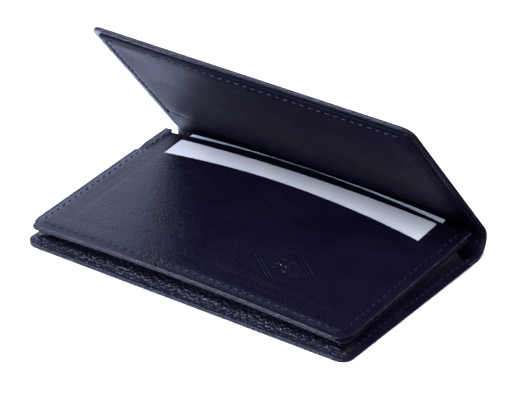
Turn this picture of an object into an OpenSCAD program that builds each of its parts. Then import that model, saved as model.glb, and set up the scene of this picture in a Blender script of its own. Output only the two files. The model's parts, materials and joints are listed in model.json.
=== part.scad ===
// Business card case: a folding leather cover round a gusseted pocket.
// Frame: millimetres, +Z up. The case lies on its back panel with the lid half open.
// The origin is the middle of the back panel's outer face, X runs along the spine and
// the spine is on the +Y side.

/* [Case] */
// Length of the case along its spine
case_l = 112; // [108:1:118]
// Width of the back panel, from its front edge to the rear crease
case_w = 72; // [70:1:76]
// Radius of the case's outer corners
corner_r = 4; // [2:0.5:6]

/* [Leather and board] */
// Thickness of the outer leather
leather_t = 0.8; // [0.6:0.1:1]
// Thickness of the stiffening boards
board_t = 0.5; // [0.3:0.1:0.6]
// Thickness of the lining leather
lining_t = 0.3; // [0.2:0.1:0.4]
// Width of the outer leather that is turned over the boards
turned_w = 2.4; // [2:0.1:4]

/* [Spine] */
// Outer radius of the rounded spine
spine_r = 6.1; // [5.8:0.1:6.4]
// Thickness of the strip that keeps the spine round
spine_strip_t = 0.2; // [0.1:0.1:0.3]

/* [Lid] */
// Length of the lid from the upper crease to its free edge
lid_len = 68.2; // [64:0.2:70]
// Angle between the lid and the back panel as the case stands open
lid_angle = 47.7; // [44:0.1:56]
// How much narrower the lid is than the case on each side
lid_inset = 1; // [0:0.25:2]
// Distance of the lid pocket's mouth from the crease at mid length
lid_mouth = 9; // [7:0.5:14]

/* [Page] */
// Length of the page that carries the front pocket
page_l = 109.8; // [106:0.2:110]
// Width of the page from its front edge to its free edge at the ends
page_w = 67.2; // [65:0.2:69]
// Height of the page's underside at the front edge
page_z = 5.9; // [5.5:0.1:7]
// Tilt of the page, which opens the gusset towards the spine
page_tilt = 3.28; // [2.8:0.02:3.6]
// Rise of the page's middle above its ends
page_arch = 2.2; // [1.5:0.1:2.5]
// Distance of the front pocket's mouth from the page's front edge at mid length
pocket_depth = 57.6; // [54:0.2:59]
// Thickness of each leather leaf in the page
leaf_t = 0.4; // [0.3:0.05:0.45]
// Height of the slot that each card slides in
slot_t = 0.35; // [0.3:0.05:0.4]

/* [Cards] */
// Long side of a business card
card_l = 90; // [85:1:91]
// Short side of a business card
card_w = 55; // [50:1:56]
// Thickness of a business card
card_t = 0.25; // [0.2:0.05:0.3]

/* [Stitching] */
// Thickness of the sewing thread
thread_t = 0.3; // [0.2:0.05:0.4]
// Length of one visible stitch
stitch_l = 1.9; // [1.2:0.1:2]
// Distance from one stitch to the next
stitch_pitch = 2.6; // [2.4:0.1:3.2]

/* [Hidden] */
$fn = 96;

navy = [0.07, 0.07, 0.14];
smooth_navy = [0.10, 0.11, 0.20];
grey_board = [0.55, 0.53, 0.50];
thread_colour = [0.16, 0.16, 0.28];
card_white = [0.86, 0.87, 0.89];

gap = 0.15;              // room on each side of a crease
joint_room = 0.05;       // room between a card and its slot
seam_inset = 3;          // distance of a seam from the edge
panel_t = 0.5;           // thickness of the lid pocket's leather
front_y = -case_w / 2;
crease_y = case_w / 2 - 0.5;
inside_z = leather_t + board_t + lining_t;
spine_arc = 180 - lid_angle;
lid_y = crease_y + spine_r * cos(spine_arc - 90);
lid_z = spine_r + spine_r * sin(spine_arc - 90);
lid_l = case_l - 2 * lid_inset;

page_half = page_l / 2;
page_r = (page_half * page_half + page_arch * page_arch) / (2 * page_arch);
page_y = front_y + 0.4;
divider_z = leaf_t + slot_t;
pocket_z = divider_z + leaf_t + slot_t;
page_edge_bow = 2;       // how far the page's free edge bows out at mid length
pocket_bow = 3.6;        // how far the pocket's mouth bows out at mid length
card_front_y = 10.4;     // front edge of the front card behind the page's front edge
card_rear_y = 15.2;      // front edge of the rear card behind the page's front edge
gusset_t = 0.45;         // thickness of the gusset's leather
gusset_in = 5.6;         // how far the gusset's fold reaches inwards
gusset_low_in = 1.8;     // inset of the gusset's lower edge from the cover's edge
gusset_high_in = 0.8;    // inset of the gusset's upper edge from the page's ends
rear_clear = 1;          // how far gusset and boards stop short of a crease or a free edge
lining_in = 0.5;         // inset of a lining from the leather's edge
base_seam_in = 0.8;      // distance of the back panel's seam from its edge
spine_in = 0.3;          // how much shorter the spine's leather is at each end
spine_lining_in = 1.5;   // inset of the spine's lining from the case's ends
inner_corner_r = 1;      // corner radius inside the turned edges
lid_lining_in = 1.2;     // inset of the lid's lining from the lid's edge
lid_pocket_in = 1.6;     // inset of the lid pocket from the lid's edge
lid_mouth_bow = 5;       // how much deeper the lid pocket's mouth is at mid length
cut_room = 5;            // extra length of the shapes that trim others

// Outline with two rounded corners at its low end, centred on X
module round_front(l, y0, y1, r) {
    translate([-l / 2, y0 + r]) square([l, y1 - y0 - r]);
    translate([-l / 2 + r, y0]) square([l - 2 * r, y1 - y0]);
    for (side = [-1, 1]) translate([side * (l / 2 - r), y0 + r]) circle(r);
}

// The same outline with a high end that bows out by bow at mid length
module bowed(l, y0, y1, r, bow) {
    bow_r = (l * l / 4 + bow * bow) / (2 * bow);
    intersection() {
        round_front(l, y0, y1 + bow, r);
        translate([0, y1 + bow - bow_r]) circle(bow_r, $fn = 1440);
    }
}

// Thread segments along X, from x0 to x1, lying on a face
module stitch_row(x0, x1) {
    count = floor((x1 - x0) / stitch_pitch);
    start = (x0 + x1 - (count - 1) * stitch_pitch) / 2;
    for (i = [0 : count - 1])
        translate([start + i * stitch_pitch - stitch_l / 2, -thread_t / 2, 0])
            cube([stitch_l, thread_t, thread_t]);
}

// Seam round three sides: two short sides and the low long side
module three_side_seam(l, y0, y1) {
    translate([0, y0, 0]) stitch_row(-l / 2 + corner_r, l / 2 - corner_r);
    for (side = [-1, 1])
        translate([side * l / 2, 0, 0]) rotate([0, 0, 90]) stitch_row(y0 + corner_r, y1);
}

// ---- Back panel ----

module back_leather() {
    color(navy) {
        linear_extrude(leather_t) round_front(case_l, front_y, crease_y - gap, corner_r);
        translate([0, 0, leather_t]) linear_extrude(board_t) difference() {
            round_front(case_l, front_y, crease_y - rear_clear, corner_r);
            round_front(case_l - 2 * turned_w, front_y + turned_w, crease_y, inner_corner_r);
        }
    }
}

module back_board() {
    color(grey_board) translate([0, 0, leather_t]) linear_extrude(board_t)
        round_front(case_l - 2 * turned_w, front_y + turned_w, crease_y - rear_clear,
            inner_corner_r);
}

module back_lining() {
    color(smooth_navy) translate([0, 0, leather_t + board_t]) linear_extrude(lining_t)
        round_front(case_l - 2 * lining_in, front_y + lining_in, crease_y - rear_clear,
            corner_r - lining_in);
}

module back_stitching() {
    color(thread_colour) translate([0, 0, inside_z])
        three_side_seam(case_l - 2 * base_seam_in, front_y + base_seam_in,
            crease_y - 2 * rear_clear);
}

// ---- Gusset: one strip folded inwards round the front and both ends ----

// Corner positions of the strip, given as a side, a place along Y and a height
module strip_mark(x, y, z) {
    translate([x - gusset_t / 2, y - gusset_t / 2, z - gusset_t / 2])
        cube([gusset_t, gusset_t, gusset_t]);
}

function page_under(y) = page_z + (y - page_y) * tan(page_tilt);

module gusset_leaf(outer_x, outer_y, z_front, z_rear) {
    fold_x = case_l / 2 - gusset_in;
    fold_y = front_y + gusset_in;
    rear_y = page_y + page_w - rear_clear;
    fold_front = (inside_z + page_under(fold_y)) / 2;
    fold_rear = (inside_z + page_under(rear_y)) / 2;
    hull() for (side = [-1, 1]) {
        strip_mark(side * outer_x, outer_y, z_front);
        strip_mark(side * fold_x, fold_y, fold_front);
    }
    for (side = [-1, 1]) hull() {
        strip_mark(side * outer_x, outer_y, z_front);
        strip_mark(side * outer_x, rear_y, z_rear);
        strip_mark(side * fold_x, fold_y, fold_front);
        strip_mark(side * fold_x, rear_y, fold_rear);
    }
}

module gusset() {
    low_z = inside_z + gusset_t / 2;
    high_y = page_y + rear_clear;
    below = gusset_t / 2 + joint_room;
    high_front = page_under(high_y) - below;
    high_rear = page_under(page_y + page_w - rear_clear) - below;
    color(navy) union() {
        gusset_leaf(case_l / 2 - gusset_low_in, front_y + gusset_low_in, low_z, low_z);
        gusset_leaf(page_half - gusset_high_in, high_y, high_front, high_rear);
    }
}

// ---- Spine ----

// Arc of the spine between two radii, with room for the crease at each end
module spine_shell(r_out, r_in, half_l, room) {
    trim = room / r_out * 180 / PI;
    far = 3 * spine_r;
    translate([-half_l, crease_y, spine_r]) rotate([90, 0, 90]) linear_extrude(2 * half_l)
        intersection() {
            difference() {
                circle(r_out);
                circle(r_in);
            }
            polygon(concat([[0, 0]], [
                for (a = [0 : 0.25 : 1])
                    let (turn = -90 + trim + a * (spine_arc - 2 * trim))
                    [far * cos(turn), far * sin(turn)]
            ]));
        }
}

module spine_leather() {
    color(navy) spine_shell(spine_r, spine_r - leather_t, case_l / 2 - spine_in, gap);
}

module spine_strip() {
    r = spine_r - leather_t;
    color(grey_board) spine_shell(r, r - spine_strip_t, case_l / 2 - turned_w, rear_clear);
}

module spine_lining() {
    r = spine_r - leather_t - spine_strip_t;
    color(smooth_navy) spine_shell(r, r - lining_t, case_l / 2 - spine_lining_in, 4 * gap);
}

module spine_stitching() {
    r = spine_r - leather_t - spine_strip_t - lining_t;
    steps = 4;
    color(thread_colour) for (side = [-1, 1], i = [0 : steps - 1])
        translate([side * (case_l / 2 - seam_inset), crease_y, spine_r])
            rotate([-90 + (i + 0.5) * spine_arc / steps, 0, 0])
                translate([-thread_t / 2, r - thread_t - 2 * joint_room, -stitch_l / 2])
                    cube([thread_t, thread_t, stitch_l]);
}

// ---- Lid, drawn flat from its crease and then leaned back ----

module on_lid() {
    translate([0, lid_y, lid_z]) rotate([spine_arc, 0, 0]) children();
}

// Outline with its rounded corners at the free edge
module lid_outline(l, y0, y1, r) {
    mirror([0, 1]) round_front(l, -y1, -y0, r);
}

module lid_leather() {
    color(navy) on_lid() {
        linear_extrude(leather_t) lid_outline(lid_l, gap, lid_len, corner_r);
        translate([0, 0, leather_t]) linear_extrude(board_t) difference() {
            lid_outline(lid_l, rear_clear, lid_len, corner_r);
            lid_outline(lid_l - 2 * turned_w, 0, lid_len - turned_w, inner_corner_r);
        }
    }
}

module lid_board() {
    color(grey_board) on_lid() translate([0, 0, leather_t]) linear_extrude(board_t)
        lid_outline(lid_l - 2 * turned_w, 2 * rear_clear, lid_len - turned_w, inner_corner_r);
}

module lid_lining() {
    color(smooth_navy) on_lid() translate([0, 0, leather_t + board_t]) linear_extrude(lining_t)
        lid_outline(lid_l - 2 * lid_lining_in, rear_clear, lid_len - lid_lining_in, corner_r - 1);
}

module lid_pocket() {
    mouth_ends = lid_mouth + lid_mouth_bow;
    color(smooth_navy) on_lid() translate([0, 0, inside_z]) linear_extrude(panel_t)
        translate([0, mouth_ends]) mirror([0, 1])
            bowed(lid_l - 2 * lid_pocket_in, mouth_ends - lid_len + lid_pocket_in, 0,
                corner_r - lid_pocket_in, lid_mouth_bow);
}

module lid_stitching() {
    color(thread_colour) on_lid() translate([0, 0, inside_z + panel_t]) mirror([0, 1])
        three_side_seam(lid_l - 2 * seam_inset, -lid_len + seam_inset,
            -lid_mouth - lid_mouth_bow - rear_clear);
}

// ---- Page, drawn from its front edge, arched and tilted up towards the spine ----

module on_page() {
    translate([0, page_y, page_z]) rotate([page_tilt, 0, 0]) children();
}

// Height of the arch at x, for a face that lies high above the underside
function arch_top(x, high) = sqrt(pow(page_r + high, 2) - x * x) + page_arch - page_r;

// Part of the page's arch between two heights above the underside
module arched(low, high) {
    reach = page_w + cut_room;
    intersection() {
        translate([0, 0, -cut_room]) linear_extrude(4 * cut_room) children();
        translate([0, reach, page_arch - page_r]) rotate([90, 0, 0]) difference() {
            cylinder(h = 2 * reach, r = page_r + high, $fn = 1440);
            translate([0, 0, -cut_room])
                cylinder(h = 2 * (reach + cut_room), r = page_r + low, $fn = 1440);
        }
    }
}

module page_rim(rear) {
    difference() {
        round_front(page_l, 0, rear, corner_r);
        round_front(page_l - 2 * seam_inset, seam_inset, rear + cut_room, 2 * inner_corner_r);
    }
}

module page_backing() {
    color(navy) on_page() {
        arched(0, leaf_t) bowed(page_l, 0, page_w - rear_clear, corner_r, page_edge_bow);
        arched(leaf_t, leaf_t + slot_t) page_rim(page_w - rear_clear);
    }
}

module page_divider() {
    color(smooth_navy) on_page() arched(divider_z, divider_z + leaf_t)
        bowed(page_l, 0, page_w, corner_r, page_edge_bow);
}

module page_pocket() {
    side_depth = pocket_depth - pocket_bow;
    color(smooth_navy) on_page() {
        arched(pocket_z, pocket_z + leaf_t) bowed(page_l, 0, side_depth, corner_r, pocket_bow);
        arched(pocket_z - slot_t, pocket_z) page_rim(side_depth);
    }
}

module page_stitching() {
    top = pocket_z + leaf_t;
    side_x = page_half - seam_inset;
    count = floor((page_l - 2 * corner_r - 2 * seam_inset) / stitch_pitch);
    color(thread_colour) on_page() {
        for (i = [-(count - 1) / 2 : 1 : (count - 1) / 2])
            let (x = i * stitch_pitch)
            translate([x, seam_inset, arch_top(x, top)])
                rotate([0, asin(x / page_r), 0])
                    translate([-stitch_l / 2, -thread_t / 2, 0])
                        cube([stitch_l, thread_t, thread_t]);
        for (side = [-1, 1])
            translate([side * side_x, 0, arch_top(side_x - thread_t / 2, top)])
                rotate([0, 0, 90])
                stitch_row(seam_inset + corner_r, pocket_depth - pocket_bow);
    }
}

// ---- Cards ----

module card(front, low) {
    color(card_white) on_page() arched(low, low + card_t)
        translate([-card_l / 2, front]) square([card_l, card_w]);
}

module card_front() {
    card(card_front_y, pocket_z - slot_t + joint_room);
}

module card_rear() {
    card(card_rear_y, leaf_t + joint_room);
}

back_leather();
back_board();
back_lining();
back_stitching();
gusset();
spine_leather();
spine_strip();
spine_lining();
spine_stitching();
lid_leather();
lid_board();
lid_lining();
lid_pocket();
lid_stitching();
page_backing();
page_divider();
page_pocket();
page_stitching();
card_front();
card_rear();
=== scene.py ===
import json
import math
import bpy
import bmesh
from mathutils import Matrix, Vector, noise


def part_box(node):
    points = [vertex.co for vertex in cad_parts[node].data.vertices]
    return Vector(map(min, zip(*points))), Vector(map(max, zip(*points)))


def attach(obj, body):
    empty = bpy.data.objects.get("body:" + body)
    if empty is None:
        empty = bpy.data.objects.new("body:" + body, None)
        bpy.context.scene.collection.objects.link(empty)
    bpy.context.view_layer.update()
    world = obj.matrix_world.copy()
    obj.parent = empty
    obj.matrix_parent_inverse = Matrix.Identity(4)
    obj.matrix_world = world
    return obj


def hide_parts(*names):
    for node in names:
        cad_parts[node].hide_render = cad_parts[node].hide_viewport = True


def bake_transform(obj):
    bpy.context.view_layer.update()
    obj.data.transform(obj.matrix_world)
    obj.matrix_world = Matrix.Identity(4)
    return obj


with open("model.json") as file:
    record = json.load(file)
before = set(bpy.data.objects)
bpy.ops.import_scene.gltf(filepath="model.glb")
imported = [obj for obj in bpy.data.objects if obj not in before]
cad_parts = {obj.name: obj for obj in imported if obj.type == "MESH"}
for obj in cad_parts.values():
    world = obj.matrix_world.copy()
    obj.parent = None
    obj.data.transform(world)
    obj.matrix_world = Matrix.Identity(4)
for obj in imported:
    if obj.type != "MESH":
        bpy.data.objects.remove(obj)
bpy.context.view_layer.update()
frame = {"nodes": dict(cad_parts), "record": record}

# A navy leather business card case, half open, with a card in its front pocket and one behind.
# Each panel is laid out flat first: x along the spine, y from the panel's free edge towards
# the spine, z through the leather. A place function then puts it where it sits on the case.

mm = 0.001
noise.seed_set(7)  # the same grain each run

joints = {joint["name"]: joint for joint in frame["record"]["behaviour"]["joints"]}
spineHinge = Vector(joints["spine_crease"]["pos_m"])
lidHinge = Vector(joints["lid_crease"]["pos_m"])
pageHinge = Vector(joints["page_swing"]["pos_m"])
slideAxis = Vector(joints["front_card_slide"]["axis"])
backLow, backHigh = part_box("back_leather")
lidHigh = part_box("lid_leather")[1]
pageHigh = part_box("page_divider")[1]
cardLow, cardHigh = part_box("card_front")
pageTilt = math.atan2(slideAxis.z, slideAxis.y)
print("frame loaded:", len(frame["nodes"]), "nodes")


# Small tools

def smooth(low, high, value):
    t = min(1.0, max(0.0, (value - low) / (high - low)))
    return t * t * (3 - 2 * t)


def mix(a, b, t):
    return a + (b - a) * t


def bell(value, width):
    return math.exp(-(value / width) ** 2)


def ripple(x, y, size, seed=0.0):
    return noise.noise(Vector((x / size, y / size, seed)))


# Places of grid lines from 0 to length: close together at both ends and in the fine ranges
def gridLines(length, step, near, fine=()):
    ends = [d * mm for d in near]
    lines = ends + [length - d for d in ends]
    start, stop = ends[-1], length - ends[-1]
    count = max(2, round((stop - start) / step))
    lines += [start + (stop - start) * i / count for i in range(count + 1)]
    for low, high, small in fine:
        number = round((high - low) / small)
        lines += [low + (high - low) * i / number for i in range(number + 1)]
    lines.sort()
    kept = [lines[0]]
    for line in lines[1:]:
        if line - kept[-1] > 0.015 * mm:
            kept.append(line)
    return kept


# Columns and rows for a whole panel, with finer ranges where its face has fine shapes
def gridOf(outline, step, near, fineX=(), fineY=()):
    return gridLines(2 * outline.half, step, near, fineX), gridLines(outline.depth, step, near, fineY)


def placed(name, data):
    obj = bpy.data.objects.new(name, data)
    bpy.context.scene.collection.objects.link(obj)
    return obj


def meshObject(name, verts, faces, material, marks, sharp=50):
    mesh = bpy.data.meshes.new(name)
    mesh.from_pydata(verts, [], faces)
    for label, values in marks.items():
        mesh.attributes.new(label, "FLOAT", "POINT").data.foreach_set("value", values)
    work = bmesh.new()
    work.from_mesh(mesh)
    bmesh.ops.remove_doubles(work, verts=work.verts, dist=1e-7)
    bmesh.ops.dissolve_degenerate(work, dist=1e-8, edges=work.edges)
    bmesh.ops.recalc_face_normals(work, faces=work.faces)
    work.to_mesh(mesh)
    work.free()
    mesh.polygons.foreach_set("use_smooth", [True] * len(mesh.polygons))
    mesh.set_sharp_from_angle(angle=math.radians(sharp))
    mesh.materials.append(material)
    return placed(name, mesh)


# A panel's cut shape: width at each y, rounded corners and a rear edge that may bow out
class Outline:
    def __init__(self, half, depth, corner, rearCorner=0.0, bow=0.0, rearHalf=None, ear=0.0):
        self.half, self.depth, self.corner = half, depth, corner
        self.rearCorner, self.bow, self.ear = rearCorner, bow, ear
        self.rearHalf = half if rearHalf is None else rearHalf

    def sideAt(self, y):
        return mix(self.half, self.rearHalf, min(1.0, max(0.0, y / self.depth)))

    def widthAt(self, y):
        side = self.sideAt(y)
        if y < self.corner:
            side -= self.corner - math.sqrt(max(0.0, self.corner ** 2 - (self.corner - y) ** 2))
        back = self.depth - y
        if back < self.rearCorner:
            r = self.rearCorner
            side -= r - math.sqrt(max(0.0, r ** 2 - (r - back) ** 2))
        return side

    def point(self, across, y):
        x = across / self.half * self.widthAt(y)
        y += self.ear * self.earShare(x) * (y / self.depth) ** 12
        return x, y * (1 + self.bow * (1 - (x / self.half) ** 2) / self.depth)

    def earShare(self, x):
        return smooth(self.half - 2.9 * mm, self.half - 2.4 * mm, abs(x))

    # Distance to the three sewn edges, leaving the rear edge out
    def sewn(self, x, y):
        side, r = self.sideAt(y) - abs(x), self.corner
        nearest = min(side, y)
        if side < r and y < r:
            nearest = r - math.hypot(r - side, r - y)
        return max(0.0, nearest)

    # Distance from a point inside to the nearest cut edge
    def edge(self, x, y):
        rear = self.depth + self.bow * (1 - (x / self.half) ** 2) - y
        rear += self.ear * self.earShare(x)
        nearest = min(self.sewn(x, y), rear)
        side, r = self.sideAt(y) - abs(x), self.rearCorner
        if side < r and rear < r:
            nearest = min(nearest, r - math.hypot(r - side, r - rear))
        return max(0.0, nearest)


# A row of stitches round a panel's sides and free edge, with rounded corners
class Seam:
    def __init__(self, half, front, rear, corner, pitch):
        self.half, self.front, self.rear, self.corner = half, front, rear, corner
        self.side = rear - front - corner
        self.turn = math.pi / 2 * corner
        self.face = 2 * (half - corner)
        self.length = 2 * self.side + 2 * self.turn + self.face
        self.count = round(self.length / pitch)
        self.pitch = self.length / self.count

    # Point at a distance along the seam from its rear left end
    def at(self, a):
        mirrored = a > self.length / 2
        if mirrored:
            a = self.length - a
        r = self.corner
        if a < self.side:
            x, y = -self.half, self.rear - a
        elif a < self.side + self.turn:
            turn = (a - self.side) / r
            x = -self.half + r - r * math.cos(turn)
            y = self.front + r - r * math.sin(turn)
        else:
            x = -self.half + r + (a - self.side - self.turn)
            y = self.front
        return (-x if mirrored else x), y

    # Distance along the seam and distance from it, for the nearest point of the seam
    def find(self, x, y):
        mirrored = x > 0
        px, py = -abs(x) + self.half, y - self.front
        r = self.corner
        if px < r and py >= r:
            along, away = self.side - (py - r), abs(px)
            if along < 0:
                away = math.hypot(px, along)
        elif px < r:
            turn = math.atan2(r - py, r - px)
            along = self.side + turn * r
            away = abs(r - math.hypot(r - px, r - py))
        else:
            along, away = self.side + self.turn + (px - r), abs(py)
            if py > px:
                along, away = self.side - (py - r), abs(px)
        if mirrored:
            along = self.length - along
        return along, away

    # How far the thread pulls the leather down at a point
    def press(self, x, y, groove, hole):
        along, away = self.find(x, y)
        if away > 1.6 * mm or along < -0.8 * mm or along > self.length + 0.8 * mm:
            return 0.0
        phase = (along / self.pitch + 0.5) % 1.0
        gapAlong = min(phase, 1 - phase) * self.pitch
        pit = hole * bell(math.hypot(gapAlong, away), 0.34 * mm)
        return groove * bell(away, 0.55 * mm) + pit


# A closed leather sheet: top and low give z at (x, y, distance from the edge)
def sheet(name, outline, place, top, low, material, grid, pressed=None):
    columns, rows = grid
    across = [x - outline.half for x in columns]
    wide, deep = len(across), len(rows)
    verts, faces = [], []
    marks = {"rim": [], "pressed": []}
    for surface in (top, low):
        for y in rows:
            for x in across:
                px, py = outline.point(x, y)
                edge = outline.edge(px, py)
                verts.append(place(px, py, surface(px, py, edge)))
                marks["rim"].append(1 - smooth(0.3 * mm, 1.1 * mm, edge))
                marks["pressed"].append(pressed(px, py) if pressed and surface is top else 0.0)
    layer = wide * deep
    for j in range(deep - 1):
        for i in range(wide - 1):
            a = j * wide + i
            faces.append((a, a + 1, a + wide + 1, a + wide))
            b = a + layer
            faces.append((b, b + wide, b + wide + 1, b + 1))
    ring = list(range(wide))
    ring += [j * wide + wide - 1 for j in range(1, deep)]
    ring += [(deep - 1) * wide + i for i in range(wide - 2, -1, -1)]
    ring += [j * wide for j in range(deep - 2, 0, -1)]
    for k, a in enumerate(ring):
        b = ring[(k + 1) % len(ring)]
        faces.append((b, a, a + layer, b + layer))
    return meshObject(name, verts, faces, material, marks)


# Takes the place of the CAD nodes a finished piece stands for, by hiding them
def finished(piece, slot, *nodes):
    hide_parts(*nodes)


# How far a face drops at a distance from a rounded edge
def rounded(edge, radius):
    if edge >= radius:
        return 0.0
    return radius - math.sqrt(max(0.0, radius ** 2 - (radius - edge) ** 2))


# Materials

def newMaterial(name):
    material = bpy.data.materials.new(name)
    material.use_nodes = True
    tree = material.node_tree
    tree.nodes.clear()
    output = tree.nodes.new("ShaderNodeOutputMaterial")
    shader = tree.nodes.new("ShaderNodeBsdfPrincipled")
    tree.links.new(shader.outputs["BSDF"], output.inputs["Surface"])
    return material, tree, shader


def node(tree, kind, inputs=None, **settings):
    made = tree.nodes.new(kind)
    for key, value in settings.items():
        setattr(made, key, value)
    for key, value in (inputs or {}).items():
        if isinstance(value, bpy.types.NodeSocket):
            tree.links.new(value, made.inputs[key])
        else:
            made.inputs[key].default_value = value
    return made


def objectPoints(tree, scale=(1, 1, 1)):
    points = node(tree, "ShaderNodeTexCoord").outputs["Object"]
    return node(tree, "ShaderNodeMapping", {"Vector": points, "Scale": scale}).outputs["Vector"]


def ramp(tree, factor, stops):
    made = node(tree, "ShaderNodeValToRGB", {"Fac": factor})
    elements = made.color_ramp.elements
    while len(elements) < len(stops):
        elements.new(0.5)
    for element, (place, colour) in zip(elements, stops):
        element.position = place
        element.color = (*colour, 1)
    return made.outputs["Color"]


def attribute(tree, label):
    return node(tree, "ShaderNodeAttribute", attribute_name=label).outputs["Fac"]


# Base colour pulled towards another one by a factor
def shade(tree, factor, base, other):
    made = node(tree, "ShaderNodeMix", {"Factor": factor}, data_type="RGBA")
    for socket, value in ((made.inputs[6], base), (made.inputs[7], other)):
        if isinstance(value, bpy.types.NodeSocket):
            tree.links.new(value, socket)
        else:
            socket.default_value = (*value, 1)
    return made.outputs[2]


def roughen(tree, shader, height, strength, distance):
    bump = node(tree, "ShaderNodeBump", {"Height": height, "Strength": strength,
                                         "Distance": distance * mm})
    tree.links.new(bump.outputs["Normal"], shader.inputs["Normal"])


def arithmetic(tree, operation, first, second, third=None):
    values = {0: first, 1: second}
    if third is not None:
        values[2] = third
    return node(tree, "ShaderNodeMath", values, operation=operation).outputs[0]


# Dyed calf leather: pebbles or fine grain, pores, creases, cloudy dye, burnished edges and painted
# shade in the pebble valleys
def leather(name, cfg):
    material, tree, shader = newMaterial(name)
    points = objectPoints(tree)
    warp = node(tree, "ShaderNodeTexNoise", {"Vector": points, "Scale": 700.0, "Detail": 2.0})
    bent = node(tree, "ShaderNodeMix", {"Factor": cfg["warp"] * mm, 6: points,
                                        7: warp.outputs["Color"]},
                data_type="RGBA", blend_type="ADD")
    cells = node(tree, "ShaderNodeTexVoronoi",
                 {"Vector": bent.outputs[2], "Scale": cfg["cells"], "Smoothness": 0.4},
                 feature="SMOOTH_F1")
    domes = arithmetic(tree, "SUBTRACT", 1.0, cells.outputs["Distance"])
    pores = node(tree, "ShaderNodeTexNoise", {"Vector": points, "Scale": 2400.0, "Detail": 3.0})
    pull = node(tree, "ShaderNodeTexNoise",
                {"Vector": objectPoints(tree, cfg["stretch"]), "Scale": 380.0, "Detail": 5.0,
                 "Roughness": 0.62})
    creases = node(tree, "ShaderNodeTexNoise",
                   {"Vector": objectPoints(tree, (0.25, 1, 1)), "Scale": 95.0, "Detail": 2.0,
                    "Distortion": 0.4})
    folds = node(tree, "ShaderNodeMapRange",
                 {"Value": arithmetic(tree, "ABSOLUTE",
                                      arithmetic(tree, "SUBTRACT", creases.outputs["Fac"], 0.5),
                                      0.0),
                  "From Min": 0.0, "From Max": 0.022, "To Min": 0.0, "To Max": 1.0})
    height = arithmetic(tree, "MULTIPLY_ADD", domes, cfg["domeShare"], pores.outputs["Fac"])
    height = arithmetic(tree, "MULTIPLY_ADD", pull.outputs["Fac"], cfg["pullShare"], height)
    height = arithmetic(tree, "MULTIPLY_ADD", folds.outputs["Result"], cfg["foldShare"], height)
    strength = arithmetic(tree, "MULTIPLY_ADD", attribute(tree, "calm"), -0.85 * cfg["bump"],
                          cfg["bump"])
    roughen(tree, shader, height, strength, cfg["relief"])

    clouds = node(tree, "ShaderNodeTexNoise", {"Vector": points, "Scale": 55.0, "Detail": 5.0})
    colour = ramp(tree, clouds.outputs["Fac"], [(0.32, cfg["colour"]), (0.70, cfg["worn"])])
    # Painted shade: the colour darkens towards deep in the valleys between the pebbles, where the bump
    # is lowest
    valley = node(tree, "ShaderNodeMapRange",
                  {"Value": cells.outputs["Distance"], "From Min": 0.35, "From Max": 0.85})
    colour = shade(tree, arithmetic(tree, "MULTIPLY", valley.outputs["Result"],
                                    cfg["valleyShadeShare"]), colour, cfg["deep"])
    colour = shade(tree, arithmetic(tree, "MULTIPLY", attribute(tree, "rim"), 0.75),
                   colour, cfg["edgePaint"])
    colour = shade(tree, arithmetic(tree, "MULTIPLY", attribute(tree, "pressed"), 0.8),
                   colour, cfg["deep"])
    tree.links.new(colour, shader.inputs["Base Color"])
    rough = node(tree, "ShaderNodeMapRange",
                 {"Value": clouds.outputs["Fac"], "From Min": 0.3, "From Max": 0.7,
                  "To Min": cfg["rough"][0], "To Max": cfg["rough"][1]})
    rubbed = arithmetic(tree, "MULTIPLY_ADD", pull.outputs["Fac"], 0.12,
                        rough.outputs["Result"])
    rubbed = arithmetic(tree, "MULTIPLY_ADD", attribute(tree, "rim"), 0.03, rubbed)
    tree.links.new(rubbed, shader.inputs["Roughness"])
    level = arithmetic(tree, "MULTIPLY_ADD", attribute(tree, "calm"), -0.88 * cfg["specular"],
                       cfg["specular"])
    tree.links.new(level, shader.inputs["Specular IOR Level"])
    return material


def threadMaterial(name, cfg):
    material, tree, shader = newMaterial(name)
    points = objectPoints(tree)
    twist = node(tree, "ShaderNodeTexWave", {"Vector": points, "Scale": 900.0, "Distortion": 0.6},
                 bands_direction="DIAGONAL")
    fuzz = node(tree, "ShaderNodeTexNoise", {"Vector": points, "Scale": 3000.0})
    colour = ramp(tree, twist.outputs["Fac"], [(0.2, cfg["deep"]), (0.8, cfg["colour"])])
    tree.links.new(colour, shader.inputs["Base Color"])
    height = arithmetic(tree, "ADD", twist.outputs["Fac"], fuzz.outputs["Fac"])
    roughen(tree, shader, height, 0.5, 0.05)
    shader.inputs["Roughness"].default_value = cfg["rough"]
    return material


def cardMaterial(name, cfg):
    material, tree, shader = newMaterial(name)
    points = objectPoints(tree)
    fibres = node(tree, "ShaderNodeTexNoise", {"Vector": points, "Scale": 2200.0, "Detail": 4.0})
    clouds = node(tree, "ShaderNodeTexNoise", {"Vector": points, "Scale": 120.0, "Detail": 3.0})
    colour = ramp(tree, clouds.outputs["Fac"], [(0.3, cfg["colour"]), (0.7, cfg["shade"])])
    tree.links.new(colour, shader.inputs["Base Color"])
    roughen(tree, shader, fibres.outputs["Fac"], 0.15, 0.02)
    shader.inputs["Roughness"].default_value = cfg["rough"]
    return material


def boardMaterial(name, cfg):
    material, tree, shader = newMaterial(name)
    points = objectPoints(tree)
    fibres = node(tree, "ShaderNodeTexNoise",
                  {"Vector": objectPoints(tree, (1, 4, 1)), "Scale": 700.0, "Detail": 6.0})
    flecks = node(tree, "ShaderNodeTexVoronoi", {"Vector": points, "Scale": 500.0})
    mixed = arithmetic(tree, "MULTIPLY", fibres.outputs["Fac"], flecks.outputs["Distance"])
    colour = ramp(tree, mixed, [(0.1, cfg["deep"]), (0.5, cfg["colour"])])
    tree.links.new(colour, shader.inputs["Base Color"])
    roughen(tree, shader, fibres.outputs["Fac"], 0.4, 0.05)
    shader.inputs["Roughness"].default_value = cfg["rough"]
    return material


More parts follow.
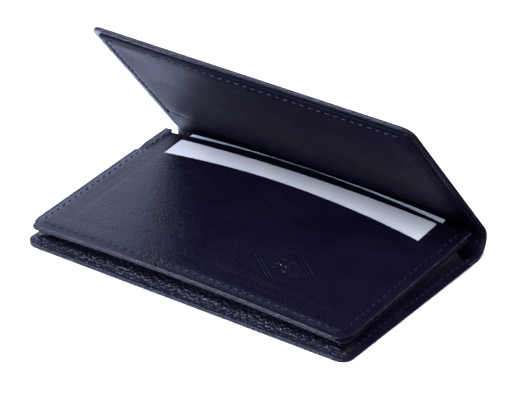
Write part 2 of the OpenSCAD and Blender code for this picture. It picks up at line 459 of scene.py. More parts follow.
outsideLook = {"colour": (0.0036, 0.0029, 0.0094), "worn": (0.0062, 0.0051, 0.0152),
               "deep": (0.0020, 0.0016, 0.0060), "edgePaint": (0.0035, 0.0030, 0.0090),
               "cells": 1050.0, "warp": 0.30, "stretch": (1, 1, 1), "domeShare": 2.0,
               "pullShare": 0.25, "foldShare": 0.15, "bump": 0.9, "relief": 0.15,
               "valleyShadeShare": 0.8, "rough": (0.24, 0.36), "specular": 0.42}
insideLook = {"colour": (0.0017, 0.0013, 0.0055), "worn": (0.0030, 0.0024, 0.0086),
              "deep": (0.0010, 0.0008, 0.0032), "edgePaint": (0.0035, 0.0030, 0.0090),
              "cells": 1900.0, "warp": 0.25, "stretch": (0.22, 1, 1), "domeShare": 1.5,
              "pullShare": 1.6, "foldShare": 0.30, "bump": 0.65, "relief": 0.11,
              "valleyShadeShare": 0.35, "rough": (0.17, 0.27), "specular": 0.52}
liningLook = {**insideLook, "rough": (0.34, 0.46), "specular": 0.08}
# The lid's inner leather is the same glazed navy leather as the page; its lighter violet colour and
# worn tone are painted sheen, standing in for the violet reflection on the lid
lidSheenLook = {**insideLook, "colour": (0.0034, 0.0025, 0.0098), "worn": (0.0052, 0.0040, 0.0145),
           "rough": (0.32, 0.42), "specular": 0.04, "foldShare": 0.15}

outsideLeather = leather("grained_navy", outsideLook)
insideLeather = leather("glazed_navy", insideLook)
liningLeather = leather("lining_navy", liningLook)
lidSheenLeather = leather("lid_navy_painted_sheen", lidSheenLook)
navyThread = threadMaterial("navy_thread", {"colour": (0.010, 0.009, 0.024),
                                            "deep": (0.003, 0.003, 0.009), "rough": 0.45})
whiteCard = cardMaterial("white_card", {"colour": (0.49, 0.51, 0.53),
                                        "shade": (0.44, 0.46, 0.48), "rough": 0.6})
# The rear card is the same white card stock as the front one; its blue-grey tint is painted shade, the
# cool shade it sits in under the page and the lid
shadeTintedCard = cardMaterial("shade_tinted_card", {"colour": (0.64, 0.76, 0.82),
                                      "shade": (0.58, 0.70, 0.77), "rough": 0.45})
greyBoard = boardMaterial("grey_board", {"colour": (0.36, 0.33, 0.30),
                                         "deep": (0.22, 0.20, 0.18), "rough": 0.8})
print("materials ready")


# Stitches

# Lays one waxed stitch at even steps along each curve and turns it along the seam
def stitchTree():
    tree = bpy.data.node_groups.new("sewing", "GeometryNodeTree")
    face = tree.interface
    face.new_socket("Geometry", in_out="INPUT", socket_type="NodeSocketGeometry")
    sizes = {}
    for label, kind, value in (("Stitch Count", "NodeSocketInt", 10),
                               ("Stitch Length", "NodeSocketFloat", 2 * mm),
                               ("Thread Radius", "NodeSocketFloat", 0.2 * mm),
                               ("Slant", "NodeSocketFloat", 0.0),
                               ("Unevenness", "NodeSocketFloat", 0.05),
                               ("Seed", "NodeSocketInt", 3),
                               ("Face Direction", "NodeSocketVector", (0, 0, 1)),
                               ("Thread", "NodeSocketMaterial", None)):
        socket = face.new_socket(label, in_out="INPUT", socket_type=kind)
        if value is not None:
            socket.default_value = value
        sizes[label] = socket.identifier
    face.new_socket("Geometry", in_out="OUTPUT", socket_type="NodeSocketGeometry")
    start = tree.nodes.new("NodeGroupInput")
    end = tree.nodes.new("NodeGroupOutput")
    size = start.outputs
    points = node(tree, "GeometryNodeCurveToPoints",
                  {"Curve": size["Geometry"], "Count": size["Stitch Count"]}, mode="COUNT")
    turn = node(tree, "FunctionNodeAlignRotationToVector",
                {"Vector": points.outputs["Tangent"]}, axis="X")
    wobble = node(tree, "FunctionNodeRandomValue", {2: -1.0, 3: 1.0, "Seed": size["Seed"]},
                  data_type="FLOAT")
    uneven = arithmetic(tree, "MULTIPLY_ADD", wobble.outputs[1], size["Unevenness"], size["Slant"])
    lean = node(tree, "FunctionNodeAxisAngleToRotation",
                {"Axis": size["Face Direction"], "Angle": uneven})
    turned = node(tree, "FunctionNodeRotateRotation",
                  {"Rotation": turn.outputs["Rotation"], "Rotate By": lean.outputs["Rotation"]},
                  rotation_space="GLOBAL")
    half = arithmetic(tree, "MULTIPLY", size["Stitch Length"], 0.5)
    shape = node(tree, "ShaderNodeCombineXYZ", {"X": half, "Y": size["Thread Radius"],
                                                "Z": size["Thread Radius"]})
    stitch = node(tree, "GeometryNodeMeshUVSphere", {"Segments": 8, "Rings": 6, "Radius": 1.0})
    soft = node(tree, "GeometryNodeSetShadeSmooth", {"Geometry": stitch.outputs["Mesh"]})
    laid = node(tree, "GeometryNodeInstanceOnPoints",
                {"Points": points.outputs["Points"], "Instance": soft.outputs["Geometry"],
                 "Rotation": turned.outputs["Rotation"], "Scale": shape.outputs["Vector"]})
    real = node(tree, "GeometryNodeRealizeInstances", {"Geometry": laid.outputs["Instances"]})
    dyed = node(tree, "GeometryNodeSetMaterial",
                {"Geometry": real.outputs["Geometry"], "Material": size["Thread"]})
    tree.links.new(dyed.outputs["Geometry"], end.inputs["Geometry"])
    return tree, sizes


sewing, sewingInputs = stitchTree()


# Stitches along each path of points, as one plain mesh
def sew(name, paths, count, cfg, face):
    curve = bpy.data.curves.new(name + "_path", "CURVE")
    curve.dimensions = "3D"
    for path in paths:
        spline = curve.splines.new("POLY")
        spline.points.add(len(path) - 1)
        for point, place in zip(spline.points, path):
            point.co = (*place, 1)
    guide = placed(name + "_path", curve)
    lay = guide.modifiers.new("sewing", "NODES")
    lay.node_group = sewing
    values = {"Stitch Count": count, "Stitch Length": cfg["length"] * mm,
              "Thread Radius": cfg["radius"] * mm, "Slant": math.radians(cfg["slant"]),
              "Unevenness": cfg["uneven"], "Seed": cfg["seed"], "Face Direction": face,
              "Thread": navyThread}
    for label, value in values.items():
        lay[sewingInputs[label]] = value
    graph = bpy.context.evaluated_depsgraph_get()
    mesh = bpy.data.meshes.new_from_object(guide.evaluated_get(graph), depsgraph=graph)
    mesh.name = name
    bpy.data.objects.remove(guide)
    return placed(name, mesh)


# Points along a seam on a panel's face, close enough together to follow its corners
def seamPath(seam, place, height, step=0.5):
    count = max(2, round(seam.length / (step * mm)))
    path = []
    for i in range(count + 1):
        x, y = seam.at(seam.length * i / count)
        path.append(place(x, y, height(x, y)))
    return path


# Cover

cover = {
    "leather": 0.8, "board": 0.5, "lining": 0.3, "turned": 2.4, "corner": 4.0,
    "spineRadius": 6.1, "liningInset": 1.3, "lidLiningInset": 2.5, "edgeRound": 0.62,
    "seamInset": 1.9, "seamEnd": 3.0, "seamCorner": 2.6, "seamTop": 2.05, "seamUnder": 0.2,
    "lidSeamInset": 4.2, "lidSeamEnd": 15.0, "lidSeamCorner": 2.2, "pitch": 2.8,
    "spineSeamInset": 3.2, "spineSeamTop": 1.22, "spineStitches": 5,
    "groove": 0.05, "hole": 0.14, "bend": 2.2, "cutRows": (2.2, 1.4, 0.7, 0.0),
    "stitch": {"length": 1.8, "radius": 0.19, "slant": 5, "uneven": 0.05, "seed": 4},
    "step": 0.62, "near": (0, 0.03, 0.1, 0.2, 0.34, 0.5, 0.7, 0.95, 1.3, 1.7, 2.1, 2.5, 3.0),
}
frontY = backLow.y
halfLength = backHigh.x
lidHalf = lidHigh.x
spineHalf = (halfLength + lidHalf) / 2
spineRadius = cover["spineRadius"] * mm
flatRun = spineHinge.y - frontY
spineCentre = Vector((0, spineHinge.y, spineRadius))
lidTurn = math.pi / 2 + math.atan2(lidHinge.z - spineCentre.z, lidHinge.y - spineCentre.y)
arcRun = spineRadius * lidTurn
lidDirection = Vector((0, math.cos(lidTurn), math.sin(lidTurn)))
lidRun = (lidHigh.z - lidHinge.z) / math.sin(lidTurn)
coverRun = flatRun + arcRun + lidRun
lidFace = Vector((0, -math.sin(lidTurn), math.cos(lidTurn)))


# A point of the cover: run goes from the back panel's front edge round the spine
def coverPlace(x, run, z):
    if run < flatRun:
        y, height, turn = frontY + run, 0.0, 0.0
    elif run < flatRun + arcRun:
        turn = (run - flatRun) / spineRadius
        y = spineCentre.y + spineRadius * math.sin(turn)
        height = spineCentre.z - spineRadius * math.cos(turn)
    else:
        turn = lidTurn
        spot = lidHinge + lidDirection * (run - flatRun - arcRun)
        y, height = spot.y, spot.z
    return (x, y - z * math.sin(turn), height + z * math.cos(turn))


def lidPlace(x, y, z):
    return coverPlace(x, coverRun - y, z)


backSeam = Seam(halfLength - cover["seamInset"] * mm, cover["seamInset"] * mm,
                flatRun - cover["seamEnd"] * mm, cover["seamCorner"] * mm, cover["pitch"] * mm)
lidSeam = Seam(lidHalf - cover["lidSeamInset"] * mm, cover["lidSeamInset"] * mm,
               lidRun - cover["lidSeamEnd"] * mm, cover["lidSeamCorner"] * mm,
               cover["pitch"] * mm)


# 1 over the stiff panel, 0 where the leather bends past the crease
def panelShare(y, panelRun):
    return 1 - smooth(panelRun - 0.6 * mm, panelRun + 2.6 * mm, y)


def coverTop(panelRun):
    def top(x, y, edge):
        stiff = panelShare(y, panelRun)
        rim = 1 - smooth((cover["turned"] + 0.3) * mm, (cover["turned"] + 0.7) * mm, edge)
        thick = (cover["leather"] + cover["board"] * rim * mix(0.35, 1, stiff)) * mm
        return thick - rounded(edge, cover["edgeRound"] * mm * mix(0.75, 1, stiff))
    return top


def coverLow(panelRun, seam):
    def low(x, y, edge):
        stiff = panelShare(y, panelRun)
        drop = rounded(edge, cover["edgeRound"] * mm * mix(0.75, 1, stiff))
        return drop + seam.press(x, y, cover["groove"] * mm, cover["hole"] * mm)
    return low


def bendAtSpine(piece):
    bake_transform(piece)


def bendAtLid(piece):
    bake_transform(piece)


# Shares a panel's rows out so that its last one is a clean cut in mid spine
def spineEnd(panelRun):
    last = panelRun + arcRun / 2
    rows = gridLines(last, cover["step"] * mm, cover["near"])
    cut = [last - step * mm for step in cover["cutRows"]]
    return [y for y in rows if y < cut[0] - 0.4 * mm] + cut


def makeCover():
    def half(name, wide, run, place, seam):
        outline = Outline(wide, run + arcRun / 2, cover["corner"] * mm, rearHalf=spineHalf)
        outline.edge = outline.sewn  # the cut in mid spine isn't rounded
        grid = gridLines(2 * wide, cover["step"] * mm, cover["near"]), spineEnd(run)
        return sheet(name, outline, place, coverTop(run), coverLow(run, seam), outsideLeather, grid)

    back = half("cover_back", halfLength, flatRun, coverPlace, backSeam)
    lid = half("cover_lid", lidHalf, lidRun, lidPlace, lidSeam)
    finished(back, "grained_navy_leather", "back_leather", "spine_leather")
    finished(lid, "grained_navy_leather", "lid_leather")
    bendAtSpine(back)
    bendAtLid(lid)


def liningLevels(panelRun):
    def low(x, y, edge):
        stiff = panelShare(y, panelRun)
        return (cover["leather"] + cover["board"] * stiff + 0.02) * mm

    def top(x, y, edge):
        drop = rounded(edge, 0.25 * mm)
        soft = 0.05 * mm * ripple(x, y, 14 * mm, 3)
        return low(x, y, edge) + cover["lining"] * mm - drop + soft * smooth(0, 3 * mm, edge)
    return top, low


def makeLining():
    near = (0, 0.05, 0.15, 0.3, 0.6, 1.2)

    def rowsFor(run):
        rows = gridLines(run, 1.1 * mm, near)
        return [y for y in rows if y < run - 1.6 * mm] + [run - 0.8 * mm, run]

    made = []
    for name, half, run, place, nodes, inset in (
            ("lining_back", halfLength, flatRun, coverPlace, ("back_lining", "spine_lining"),
             cover["liningInset"] * mm),
            ("lining_lid", lidHalf, lidRun, lidPlace, ("lid_lining",),
             cover["lidLiningInset"] * mm)):
        depth = run + arcRun / 2 - inset
        outline = Outline(half - inset, depth, (cover["corner"] - 0.8) * mm,
                          rearHalf=spineHalf - cover["liningInset"] * mm)
        outline.edge = outline.sewn
        top, low = liningLevels(run - inset)

        def put(x, y, z, place=place, inset=inset):
            return place(x, y + inset, z)
        obj = sheet(name, outline, put, top, low, liningLeather,
                    (gridLines(2 * (half - inset), 1.1 * mm, near), rowsFor(depth)))
        finished(obj, "smooth_navy_leather", *nodes)
        made.append(obj)
    bendAtSpine(made[0])
    bendAtLid(made[1])


makeCover()
makeLining()
print("cover and lining made")


# Lid pocket

lidPocket = {"inset": 2.0, "thick": 0.5, "mouthMiddle": 9.0, "mouthEnds": 14.5, "corner": 2.6,
             "crease": 1.2, "creaseDepth": 0.14, "sag": 0.45, "sideDrop": 0.28,
             "groove": 0.12, "hole": 0.22, "swell": 0.12, "wave": 0.22}


def makeLidPocket():
    inset = lidPocket["inset"] * mm
    depth = lidRun - lidPocket["mouthEnds"] * mm - inset
    bow = (lidPocket["mouthEnds"] - lidPocket["mouthMiddle"]) * mm
    outline = Outline(lidHalf - inset, depth, lidPocket["corner"] * mm, 0.6 * mm, bow)
    base = (cover["leather"] + cover["board"] + cover["lining"] + 0.02) * mm

    def low(x, y, edge):
        rear = outline.depth + bow * (1 - (x / outline.half) ** 2) - y
        lift = lidPocket["sag"] * mm * (1 - smooth(0, 14 * mm, rear))
        lift *= 1 - smooth(0.6, 0.97, abs(x) / outline.half)
        side = min(outline.half - abs(x), y)
        return base + lift - lidPocket["sideDrop"] * mm * (1 - smooth(0.5 * mm, 1.6 * mm, side))

    def top(x, y, edge):
        rear = outline.depth + bow * (1 - (x / outline.half) ** 2) - y
        z = low(x, y, edge) + lidPocket["thick"] * mm - rounded(edge, 0.3 * mm)
        z -= lidSeam.press(x, y + inset, lidPocket["groove"] * mm, lidPocket["hole"] * mm)
        inner = smooth(2.4 * mm, 4.5 * mm, edge)
        z += lidPocket["swell"] * mm * inner * (1 - smooth(4.5 * mm, 12 * mm, edge))
        z -= lidPocket["creaseDepth"] * mm * bell(rear - lidPocket["crease"] * mm, 0.22 * mm)
        wave = ripple(x, y, 34 * mm, 8) * smooth(2 * mm, 9 * mm, edge)
        return z + lidPocket["wave"] * mm * wave

    def put(x, y, z):
        return lidPlace(x, y + inset, z)

    near = (0, 0.04, 0.12, 0.24, 0.4, 0.62, 0.9, 1.15, 1.3, 1.45, 1.8, 2.2, 2.6, 3.0)
    panel = sheet("lid_pocket_panel", outline, put, top, low, lidSheenLeather,
                  gridOf(outline, 0.6 * mm, near))
    finished(panel, "smooth_navy_leather", "lid_pocket")
    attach(panel, "lid")

    inner = seamPath(lidSeam, lidPlace,
                     lambda x, y: top(x, y - inset, 4 * mm) + 0.14 * mm)
    outer = seamPath(lidSeam, lidPlace, lambda x, y: 0.0)
    thread = sew("lid_seam", [inner, outer], lidSeam.count + 1, cover["stitch"], lidFace)
    finished(thread, "navy_thread", "lid_stitching")
    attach(thread, "lid")


makeLidPocket()
print("lid pocket made")


# Page

page = {
    "corner": 5.0, "edgeBow": 2.0, "mouthEnds": 53.3, "mouthBow": 4.0,
    "depth": 67.2, "archFront": 1.5, "archRear": 2.6,
    "seamInset": 2.8, "seamEnd": 3.2, "seamCorner": 2.6, "pitch": 2.8, "groove": 0.10, "hole": 0.20,
    "ear": 1.6, "earRise": 0.45, "pebble": 0.10, "cardRise": 0.10, "wave": 0.10, "wrinkle": 0.09,
    "backing": (0.0, 0.32), "divider": (0.76, 0.99), "pocket": (1.42, 1.78),
    "backingEdge": (0.22, 0.56), "dividerEdge": (0.58, 0.84), "pocketEdge": (0.88, 1.26),
    "stitch": {"length": 1.6, "radius": 0.17, "slant": 6, "uneven": 0.06, "seed": 9},
}
pageHalf = pageHigh.x
pageDepth = page["depth"] * mm
pageSeam = Seam(pageHalf - page["seamInset"] * mm, page["seamInset"] * mm,
                pageDepth - page["seamEnd"] * mm, page["seamCorner"] * mm, page["pitch"] * mm)


def pageArch(x, y):
    share = min(1.1, max(0.0, y / pageDepth))
    bend = 1 - (x / pageHalf) ** 2
    return mix(page["archFront"], page["archRear"], share) * mm * max(0.0, bend)


def pagePlace(x, y, z):
    height = z + pageArch(x, y)
    c, s = math.cos(pageTilt), math.sin(pageTilt)
    return (x, pageHinge.y + y * c - height * s, pageHinge.z + y * s + height * c)


# Height of a leaf's low (0) or top (1) face: the leaves meet along the seam and open inside it
def leafLevel(leaf, face, edge):
    return mix(page[leaf + "Edge"][face], page[leaf][face], smooth(1.2 * mm, 3.2 * mm, edge)) * mm


stamp = {"x": 21.0, "y": 20.5, "size": 8.6, "line": 0.24, "depth": 0.16}


# A plain debossed ornament: two nested lozenges with a four leaf sprig
def stampPress(x, y):
    u, v = (x / mm - stamp["x"]) / stamp["size"], (y / mm - stamp["y"]) / stamp["size"]
    if abs(u) > 1.4 or abs(v) > 1.1:
        return 0.0
    line = stamp["line"] / stamp["size"]
    ring = abs(u) / 1.25 + abs(v)
    depth = max(bell(ring - 0.95, line * 1.3), bell(ring - 0.80, line * 0.9))
    for turn in range(4):
        angle = math.pi / 4 + turn * math.pi / 2
        along = u * math.cos(angle) + v * math.sin(angle)
        away = -u * math.sin(angle) + v * math.cos(angle)
        if 0.04 < along < 0.44:
            leaf = 0.13 * math.sin(math.pi * (along - 0.04) / 0.40)
            depth = max(depth, bell(abs(away) - leaf, line * 0.8))
            depth = max(depth, 0.7 * bell(away, line * 0.6))
    return stamp["depth"] * mm * depth


# The divider's sides rise past the pocket's mouth
def earRise(y):
    return page["earRise"] * mm * smooth((page["mouthEnds"] + 1) * mm, (page["mouthEnds"] + 5) * mm, y)


def makePage():
    near = (0, 0.04, 0.1, 0.2, 0.34, 0.55, 0.85, 1.2)
    plain = (0, 0.04, 0.1, 0.2, 0.34, 0.6, 1.0, 1.6)
    corner = page["corner"] * mm

    # backing, the grained leaf under the page
    outline = Outline(pageHalf, pageDepth - 0.8 * mm, corner, 0.8 * mm, page["edgeBow"] * mm)

    def backingTop(x, y, edge):
        return leafLevel("backing", 1, outline.sewn(x, y)) - rounded(edge, 0.2 * mm)

    def backingLow(x, y, edge):
        return leafLevel("backing", 0, outline.sewn(x, y)) + rounded(edge, 0.3 * mm)
    backing = sheet("page_backing_leaf", outline, pagePlace, backingTop, backingLow,
                    outsideLeather, gridOf(outline, 1.0 * mm, plain))

    # divider, whose free rear edge shows behind the front card
    outline = Outline(pageHalf - 0.25 * mm, pageDepth, corner, 0.4 * mm, page["edgeBow"] * mm,
                      ear=page["ear"] * mm)

    def dividerTop(x, y, edge):
        sewn = outline.sewn(x, y)
        z = leafLevel("divider", 1, sewn) - rounded(edge, 0.2 * mm)
        z += earRise(y) * (1 - smooth(2.4 * mm, 4 * mm, sewn))
        border = 1 - smooth(2.2 * mm, 3.2 * mm, pageHalf - abs(x))
        z += page["pebble"] * mm * ripple(x, y, 1.5 * mm, 5) * border
        return z - pageSeam.press(x, y, page["groove"] * mm, page["hole"] * mm)

    def dividerLow(x, y, edge):
        return leafLevel("divider", 0, outline.sewn(x, y)) + rounded(edge, 0.18 * mm)
    divider = sheet("page_divider_leaf", outline, pagePlace, dividerTop, dividerLow,
                    insideLeather, gridOf(outline, 0.8 * mm, near))

    # front pocket, with its bowed mouth, seam and ornament
    pocketOutline = Outline(pageHalf, page["mouthEnds"] * mm, corner, 0.8 * mm,
                            page["mouthBow"] * mm)
    cardHalf = (cardHigh.x - cardLow.x) / 2

    def pocketTop(x, y, edge):
        sewn = pocketOutline.sewn(x, y)
        z = leafLevel("pocket", 1, sewn) - rounded(edge, 0.3 * mm)
        z -= pageSeam.press(x, y, page["groove"] * mm, page["hole"] * mm)
        over = smooth(cardHalf + 0.8 * mm, cardHalf - 0.8 * mm, abs(x))
        over *= smooth(9.2 * mm, 10.8 * mm, y)
        z += page["cardRise"] * mm * over
        z += page["wave"] * mm * ripple(x, y, 30 * mm, 21) * smooth(3 * mm, 10 * mm, sewn)
        border = 1 - smooth(2.2 * mm, 3.4 * mm, pageHalf - abs(x))
        z += page["pebble"] * mm * ripple(x, y, 1.5 * mm, 5) * border * smooth(0, 0.8 * mm, edge)
        for away, seed in ((6.4, 2.0), (8.6, 7.0), (11.5, 4.0)):
            wander = 0.7 * mm * ripple(x, y, 16 * mm, seed)
            fade = max(0.0, ripple(x, y, 22 * mm, seed + 9) + 0.25)
            z -= page["wrinkle"] * mm * fade * bell(sewn - away * mm + wander, 0.28 * mm)
        return z - stampPress(x, y)

    def pocketLow(x, y, edge):
        return leafLevel("pocket", 0, pocketOutline.sewn(x, y)) + rounded(edge, 0.2 * mm)
    wide, tall = stamp["size"] * 1.3, stamp["size"] * 1.05  # finer rows and columns at the stamp
    squeeze = page["mouthEnds"] / (page["mouthEnds"] + page["mouthBow"])
    fineX = ((stamp["x"] - wide) * mm + pageHalf, (stamp["x"] + wide) * mm + pageHalf, 0.2 * mm)
    fineY = ((stamp["y"] - tall) * mm * squeeze, (stamp["y"] + tall) * mm * squeeze, 0.2 * mm)
    pocket = sheet("page_front_pocket", pocketOutline, pagePlace, pocketTop, pocketLow,
                   insideLeather, gridOf(pocketOutline, 0.75 * mm, near, (fineX,), (fineY,)),
                   pressed=lambda x, y: min(1.0, stampPress(x, y) / (stamp["depth"] * mm)))

    def seamHeight(x, y):
        inset = page["seamInset"] * mm
        if y < page["mouthEnds"] * mm:
            return leafLevel("pocket", 1, inset) - 0.02 * mm
        return leafLevel("divider", 1, inset) + earRise(y) - 0.02 * mm
    path = seamPath(pageSeam, pagePlace, seamHeight)
    face = Vector((0, -math.sin(pageTilt), math.cos(pageTilt)))
    thread = sew("page_seam", [path], pageSeam.count + 1, page["stitch"], face)

    for obj, slot, old in ((backing, "grained_navy_leather", "page_backing"),
                           (divider, "smooth_navy_leather", "page_divider"),
                           (pocket, "smooth_navy_leather", "page_pocket"),
                           (thread, "navy_thread", "page_stitching")):
        finished(obj, slot, old)
        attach(obj, "page")


makePage()
print("page made")


# Cards

cards = {"length": 90.0, "width": 55.0, "thick": 0.25, "cornerRound": 0.25, "step": 1.5}
frontCard = {"edge": 10.3, "low": 1.06, "skew": 1.1, "settle": 1.0}
rearCard = {"edge": 15.2, "low": 0.41, "skew": 0.3, "settle": 5.0}


# A card in its slot: edge is its front edge from the page's, settle how far back it takes its arch
def makeCard(name, cfg, material, nodeName, body):
    outline = Outline(cards["length"] / 2 * mm, cards["width"] * mm, cards["cornerRound"] * mm,
                      cards["cornerRound"] * mm)
    c, s = math.cos(math.radians(cfg["skew"])), math.sin(math.radians(cfg["skew"]))
    middle = cards["width"] / 2 * mm
    front, low = cfg["edge"] * mm, cfg["low"]

    def put(x, y, z):
        v = y - middle
        spotX, spotY = x * c - v * s, front + middle + x * s + v * c
        z += pageArch(spotX, spotY - cfg["settle"] * mm) - pageArch(spotX, spotY)
        return pagePlace(spotX, spotY, z)

    def top(x, y, edge):
        return (low + cards["thick"]) * mm - rounded(edge, 0.05 * mm)

    def under(x, y, edge):
        return low * mm + rounded(edge, 0.05 * mm)
    lines = (0, 0.02, 0.06, 0.15)
    card = sheet(name, outline, put, top, under, material,
                 gridOf(outline, cards["step"] * mm, lines))
    finished(card, "card_stock", nodeName)
    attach(card, body)


makeCard("front_business_card", frontCard, whiteCard, "card_front", "front_card")
makeCard("rear_business_card", rearCard, shadeTintedCard, "card_rear", "rear_card")
print("cards made")


# Gusset

gusset = {"thick": 0.42, "lowInset": 0.14, "fold": 5.8, "highInset": 1.1, "corner": 3.8,
          "floor": 1.02, "grain": 0.15, "cell": 1.05, "bulge": 0.50, "pleatWidth": 1.5,
          "pleatHeight": 0.36, "step": 0.32, "rear": 66.8, "spread": 6.0, "flex": (1.7, 5.6)}


# Points and outward directions from the rear left end round the front to the rear right
def cornerPath(half, front, rear, corner, spread):
    side = rear - front - corner
    turn = math.pi / 2 * spread
    face = 2 * (half - corner)
    total = 2 * side + 2 * turn + face

    def at(a):
        flip = a > total / 2
        if flip:
            a = total - a
        if a < side:
            spot = (-half, rear - a, -1.0, 0.0, 0.0)
        elif a < side + turn:
            bend = (a - side) / spread
            out = (-math.cos(bend), -math.sin(bend))
            spot = (-half + corner + corner * out[0], front + corner + corner * out[1],
                    out[0], out[1], math.sin(math.pi * (a - side) / turn))
        else:
            spot = (-half + corner + (a - side - turn), front, 0.0, -1.0, 0.0)
        x, y, dx, dy, bent = spot
        return (-x, y, -dx, dy, bent) if flip else spot
    return at, total


def makeGusset():
    rear = pageHinge.y + gusset["rear"] * mm
    lowHalf = halfLength - gusset["lowInset"] * mm
    lowFront = frontY + gusset["lowInset"] * mm
    spread = gusset["spread"] * mm
    corner = gusset["corner"] * mm
    atLow, total = cornerPath(lowHalf, lowFront, rear, corner, spread)
    steps = round(total / (gusset["step"] * mm))
    profile = [0, 0.012, 0.026, 0.042, 0.06, 0.08, 0.1, 0.12, 0.14, 0.16, 0.18, 0.2, 0.22, 0.24,
               0.265, 0.29, 0.32, 0.36, 0.4, 0.44, 0.475, 0.5, 0.525, 0.57, 0.63, 0.71, 0.8,
               0.88, 0.94, 0.98, 1.0]
    thick = gusset["thick"] * mm
    floor = gusset["floor"] * mm

    def underPage(x, y):
        return pagePlace(x, max(0.0, y - pageHinge.y), 0)[2]

    # Middle of the leather: q from the sewn low edge in to the fold and out to the top
    def centre(a, q):
        x, y, dx, dy, bent = atLow(a)
        inward = math.sin(math.pi * min(1.0, max(0.0, q))) ** 0.9
        reach = gusset["fold"] * mm * inward
        if bent:
            reach = min(reach, mix(reach, corner * 1.1, bent * 0.5))
        shift = mix(0.0, (gusset["highInset"] - 0.2) * mm, q)
        px, py = x - dx * (reach + shift), y - dy * (reach + shift)
        ceiling = underPage(px, py) - 0.05 * mm - thick / 2
        base = floor + thick / 2
        share = 0.5 - 0.5 * math.cos(math.pi * q)
        z = mix(base, ceiling, mix(q, share, 0.35))
        z += gusset["bulge"] * mm * math.sin(math.pi * min(1.0, q / 0.5)) ** 1.2
        if bent:
            fan = math.sin(2 * math.pi * a / (gusset["pleatWidth"] * mm))
            z += gusset["pleatHeight"] * mm * fan * bent * inward
        return Vector((px, py, z)), Vector((dx, dy, 0))

    verts, faces, calm = [], [], []
    wide = len(profile)
    for k in range(steps + 1):
        a = total * k / steps
        fromCorner = abs(a - total / 2) - (lowHalf - corner) - spread * math.pi / 2
        quiet = smooth(-2 * mm, 9 * mm, fromCorner)
        calm += [quiet] * (2 * wide)
        ring = []
        for q in profile:
            spot, out = centre(a, q)
            ahead, _ = centre(a, min(1.0, q + 0.02))
            behind, _ = centre(a, max(0.0, q - 0.02))
            along = (ahead - behind).normalized()
            side = Vector((-out.y, out.x, 0))
            face = along.cross(side).normalized()
            cell = spot / (gusset["cell"] * mm)
            cell += 0.35 * noise.noise_vector(cell * 0.9)
            bumpy = 1 - 2 * noise.voronoi(cell)[0][0]
            bumpy *= smooth(0.0, 0.05, q) * smooth(0.0, 0.08, 1 - q) * (1 - 0.8 * quiet)
            ring.append((spot, face, gusset["grain"] * mm * bumpy))
        for spot, face, grain in ring:
            verts.append(spot - face * (thick / 2 + grain))
        for spot, face, grain in ring:
            verts.append(spot + face * thick / 2)
    loop = 2 * wide
    for k in range(steps):
        for i in range(wide - 1):
            a = k * loop + i
            faces.append((a, a + 1, a + loop + 1, a + loop))
            b = a + wide
            faces.append((b, b + loop, b + loop + 1, b + 1))
        for i in (0, wide - 1):
            a = k * loop + i
            faces.append((a, a + loop, a + loop + wide, a + wide))
    for k in (0, steps):
        for i in range(wide - 1):
            a = k * loop + i
            faces.append((a, a + wide, a + wide + 1, a + 1))
    strip = meshObject("gusset_strip", verts, faces, outsideLeather, {"calm": calm}, 60)
    finished(strip, "grained_navy_leather", "gusset")
    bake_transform(strip)

    inner = seamPath(backSeam, coverPlace, lambda x, y: cover["seamTop"] * mm)
    outer = seamPath(backSeam, coverPlace, lambda x, y: cover["seamUnder"] * mm)
    thread = sew("back_seam", [inner, outer], backSeam.count + 1, cover["stitch"], (0, 0, 1))
    finished(thread, "navy_thread", "back_stitching")
    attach(thread, "back")


makeGusset()


# The edge stitching where it follows the spine round at both ends
def makeSpineSeam():
    paths = []
    for side in (-1, 1):
        x = side * (halfLength - cover["spineSeamInset"] * mm)
        runs = [flatRun + arcRun * (0.1 + 0.8 * i / 40) for i in range(41)]
        paths.append([coverPlace(x, run, cover["spineSeamTop"] * mm) for run in runs])
    thread = sew("spine_seam", paths, cover["spineStitches"], cover["stitch"], (1, 0, 0))
    finished(thread, "navy_thread", "spine_stitching")
    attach(thread, "spine")


makeSpineSeam()
print("gusset and seams made")

for name in ("back_board", "lid_board", "spine_strip"):
    for slot in frame["nodes"][name].material_slots:
        slot.material = greyBoard


# Studio

studio = {
    "floor": 4.0, "world": 1.55, "tableGlow": 5.2, "litFrom": -0.62, "litTo": -0.22,
    "bright": (0.60, 0.69, 1.0), "dim": (0.015, 0.013, 0.036),
    "azimuth": 32.77, "elevation": 28.45, "roll": 2.39, "distance": 879.0, "aim": (-0.5, 7.8, 12.5),
    "lens": 203.07,
}


# The broad top light stays out of the leather's reflections, so that they keep their navy
lights = {
    "top_light": {"at": (0.2, -0.55, 1.4), "aim": (0, 0, 0), "size": (1.5, 1.1), "power": 54.0,
                  "tint": (0.93, 0.94, 1.0), "mirrored": False},
    "front_light": {"at": (0.15, -1.1, 0.45), "aim": (0, 0, 0.02), "size": (0.7, 0.3),
                    "power": 9.0, "tint": (0.80, 0.83, 1.0), "mirrored": True},
    "key_light": {"at": (-0.45, -0.48, 0.74), "aim": (0, -0.03, 0), "size": (0.20, 0.20),
                  "power": 10.0, "tint": (0.80, 0.83, 1.0), "mirrored": True},
    "rim_light": {"at": (0.55, 0.85, 0.50), "aim": (0.03, 0, 0.01), "size": (0.26, 0.16),
                  "power": 2.4, "tint": (0.80, 0.84, 1.0), "mirrored": True},
}


def softbox(name, cfg):
    light = bpy.data.lights.new(name, "AREA")
    light.shape = "RECTANGLE"
    light.size, light.size_y = cfg["size"]
    light.energy = cfg["power"]
    light.color = cfg["tint"]
    obj = placed(name, light)
    obj.location = cfg["at"]
    direction = Vector(cfg["aim"]) - Vector(cfg["at"])
    obj.rotation_euler = direction.to_track_quat("-Z", "Y").to_euler()
    obj.visible_glossy = cfg["mirrored"]


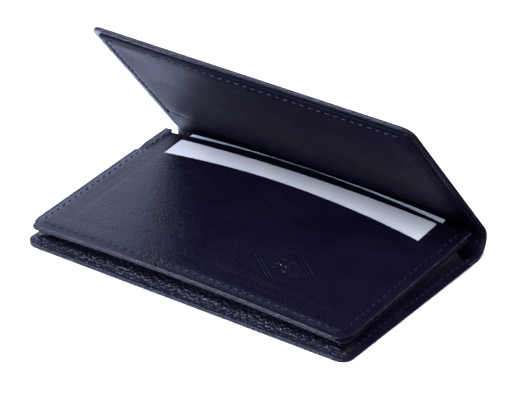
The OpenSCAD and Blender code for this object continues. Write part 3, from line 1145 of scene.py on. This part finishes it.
def makeStudio():
    material, tree, shader = newMaterial("floor_white")
    shader.inputs["Base Color"].default_value = (0.93, 0.93, 0.94, 1)
    shader.inputs["Roughness"].default_value = 0.7
    half = studio["floor"] / 2
    corners = [(-half, -half), (half, -half), (half, half), (-half, half)]
    mesh = bpy.data.meshes.new("floor")
    mesh.from_pydata([(x, y, -0.02 * mm) for x, y in corners], [], [(0, 1, 2, 3)])
    mesh.materials.append(material)
    floor = placed("floor", mesh)
    floor.visible_glossy = False

    world = bpy.data.worlds.new("studio")
    world.use_nodes = True
    tree = world.node_tree
    sky = tree.nodes["Background"]
    toward = node(tree, "ShaderNodeTexCoord").outputs["Generated"]
    way = node(tree, "ShaderNodeSeparateXYZ", {"Vector": toward}).outputs
    fall = node(tree, "ShaderNodeMapRange", {"Value": way["X"], "From Min": studio["litFrom"],
                                             "From Max": studio["litTo"]},
                interpolation_type="SMOOTHSTEP")
    colour = ramp(tree, fall.outputs["Result"], [(0.0, studio["bright"]), (1.0, studio["dim"])])
    tree.links.new(colour, sky.inputs["Color"])
    below = node(tree, "ShaderNodeMapRange",
                 {"Value": way["Z"], "From Min": -0.25, "From Max": -0.65,
                  "To Min": studio["world"], "To Max": studio["tableGlow"]})
    tree.links.new(below.outputs["Result"], sky.inputs["Strength"])
    bpy.context.scene.world = world

    for name, light in lights.items():
        softbox(name, light)

    camera = placed("camera", bpy.data.cameras.new("camera"))
    azimuth, elevation = math.radians(studio["azimuth"]), math.radians(studio["elevation"])
    look = Vector((-math.sin(azimuth) * math.cos(elevation),
                   math.cos(azimuth) * math.cos(elevation), -math.sin(elevation)))
    level = Vector((math.cos(azimuth), math.sin(azimuth), 0))
    up = level.cross(look)
    roll = math.radians(studio["roll"])
    right = level * math.cos(roll) + up * math.sin(roll)
    above = up * math.cos(roll) - level * math.sin(roll)
    turn = Matrix((right, above, -look)).transposed()
    aim = Vector(studio["aim"]) * mm
    camera.matrix_world = Matrix.Translation(aim - look * studio["distance"] * mm) @ turn.to_4x4()
    camera.data.lens = studio["lens"]
    camera.data.sensor_width = 36.0
    camera.data.clip_start = 0.01
    bpy.context.scene.camera = camera
    bpy.context.scene.view_settings.view_transform = "Standard"


makeStudio()
print("studio ready")
